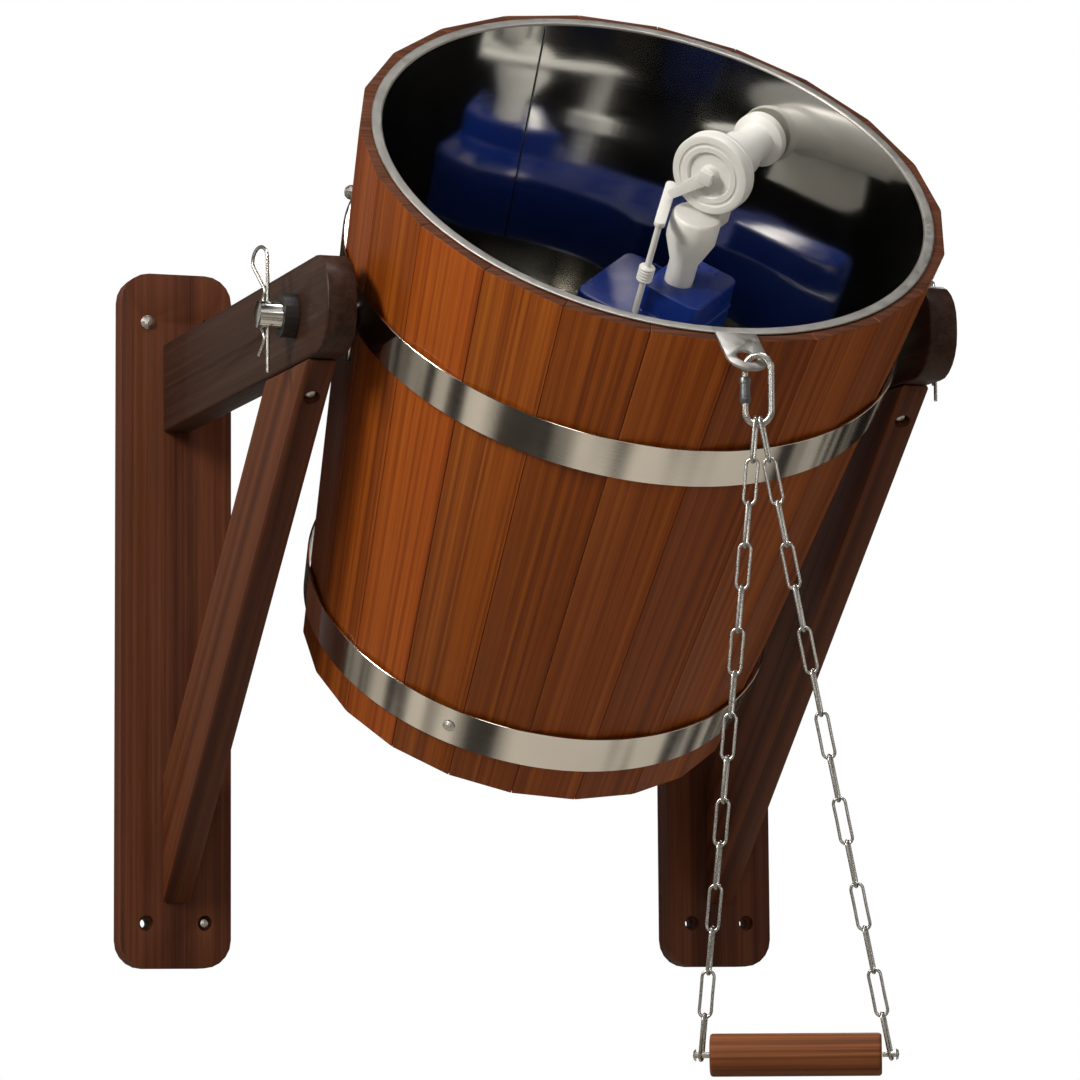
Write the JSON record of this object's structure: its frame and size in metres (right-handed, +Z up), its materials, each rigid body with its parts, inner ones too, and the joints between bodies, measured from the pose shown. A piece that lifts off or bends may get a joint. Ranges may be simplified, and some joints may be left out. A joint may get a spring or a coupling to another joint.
{
  "type": "tipping shower bucket",
  "caption": "Wall-hung wooden bucket with a steel liner and float valve, tipped over by a wooden handle on chains to pour its water at once.",
  "frame": {"origin": "on the wall plane, midway between the two wall boards, at the height of their lower ends", "axes": "+X right along the wall as seen from the room, +Y into the wall, +Z up"},
  "size_m": [0.447, 0.5799, 0.6437],
  "materials": {
    "dark_stained_wood": "stained, satin",
    "arm_wood": "dark stained, satin",
    "stave_wood": "oiled, satin",
    "handle_wood": "oiled, matt",
    "stainless_steel": "polished",
    "zinc_wire": "bright zinc plate",
    "zinc_screw": "bright zinc plate",
    "dark_zinc": "dulled zinc plate",
    "bush_plastic": "moulded",
    "white_plastic": "moulded",
    "blue_plastic": "moulded"
  },
  "bodies": {
    "brackets": {"left_wall_board": "dark_stained_wood", "left_arm": "arm_wood", "left_brace": "dark_stained_wood", "left_brace_screw": "zinc_screw", "right_wall_board": "dark_stained_wood", "right_arm": "arm_wood", "right_brace": "dark_stained_wood", "right_brace_screw": "zinc_screw", "left_upper_wall_screw": "zinc_screw", "left_lower_wall_screw": "zinc_screw"},
    "bucket": {"stave_01": "stave_wood", "stave_02": "stave_wood", "stave_03": "stave_wood", "stave_04": "stave_wood", "stave_05": "stave_wood", "stave_06": "stave_wood", "stave_07": "stave_wood", "stave_08": "stave_wood", "stave_09": "stave_wood", "stave_10": "stave_wood", "stave_11": "stave_wood", "stave_12": "stave_wood", "stave_13": "stave_wood", "stave_14": "stave_wood", "stave_15": "stave_wood", "stave_16": "stave_wood", "stave_17": "stave_wood", "stave_18": "stave_wood", "stave_19": "stave_wood", "stave_20": "stave_wood", "stave_21": "stave_wood", "stave_22": "stave_wood", "bottom_board": "stave_wood", "liner": "stainless_steel", "upper_hoop": "stainless_steel", "lower_hoop": "stainless_steel", "lower_hoop_rivet": "zinc_screw", "pull_tab": "stainless_steel", "left_axle": "stainless_steel", "left_axle_bush": "bush_plastic", "left_side_bolt": "zinc_screw", "left_r_clip": "zinc_wire", "right_axle": "stainless_steel", "right_axle_bush": "bush_plastic", "right_side_bolt": "zinc_screw", "right_r_clip": "zinc_wire", "valve_body": "white_plastic", "valve_cap": "white_plastic", "valve_lock_nut": "white_plastic", "valve_guide": "white_plastic"},
    "valve_arm": {"valve_lever": "white_plastic"},
    "float_unit": {"float": "blue_plastic", "float_rod": "white_plastic"},
    "link": {"quick_link": "zinc_wire"},
    "link_sleeve": {"quick_link_sleeve": "dark_zinc"},
    "chains": {"left_chain": "zinc_wire", "right_chain": "zinc_wire"},
    "handle": {"pull_handle": "handle_wood", "left_handle_screw": "zinc_screw", "right_handle_screw": "zinc_screw"}
  },
  "joints": [
    {"name": "bucket_tilt", "type": "hinge", "parent": "brackets", "child": "bucket", "pos_m": [0, -0.327, 0.375], "axis": [1, 0, 0], "range_deg": [-43.3, 50]},
    {"name": "link_swing", "type": "hinge", "parent": "bucket", "child": "link", "pos_m": [0, -0.5491, 0.3232], "axis": [1, 0, 0], "range_deg": [-25.5, 22]},
    {"name": "chain_swing", "type": "hinge", "parent": "link", "child": "chains", "pos_m": [0.00445, -0.55015, 0.2899], "axis": [1, 0, 0], "range_deg": [-25.5, 22]},
    {"name": "handle_turn", "type": "hinge", "parent": "chains", "child": "handle", "pos_m": [0.0212, -0.551, -0.0538], "axis": [0.9135, -0.4067, 0], "continuous": true},
    {"name": "sleeve_travel", "type": "slide", "parent": "link", "child": "link_sleeve", "axis": [0, 0, 1], "range_m": [0, 0.0044]},
    {"name": "float_rise", "type": "slide", "parent": "bucket", "child": "float_unit", "axis": [0, -0.6858, 0.7278], "range_m": [0, 0.012]},
    {"name": "lever_lift", "type": "hinge", "parent": "bucket", "child": "valve_arm", "pos_m": [0.04339, -0.3083, 0.4572], "axis": [-0.9109, 0.3004, 0.283], "range_deg": [0, 36]}
  ],
  "couplings": [
    {"joint": "link_swing", "follows": "bucket_tilt", "ratio": -0.5},
    {"joint": "chain_swing", "follows": "bucket_tilt", "ratio": -0.5},
    {"joint": "lever_lift", "follows": "float_rise", "rad_per_m": 42.37}
  ]
}
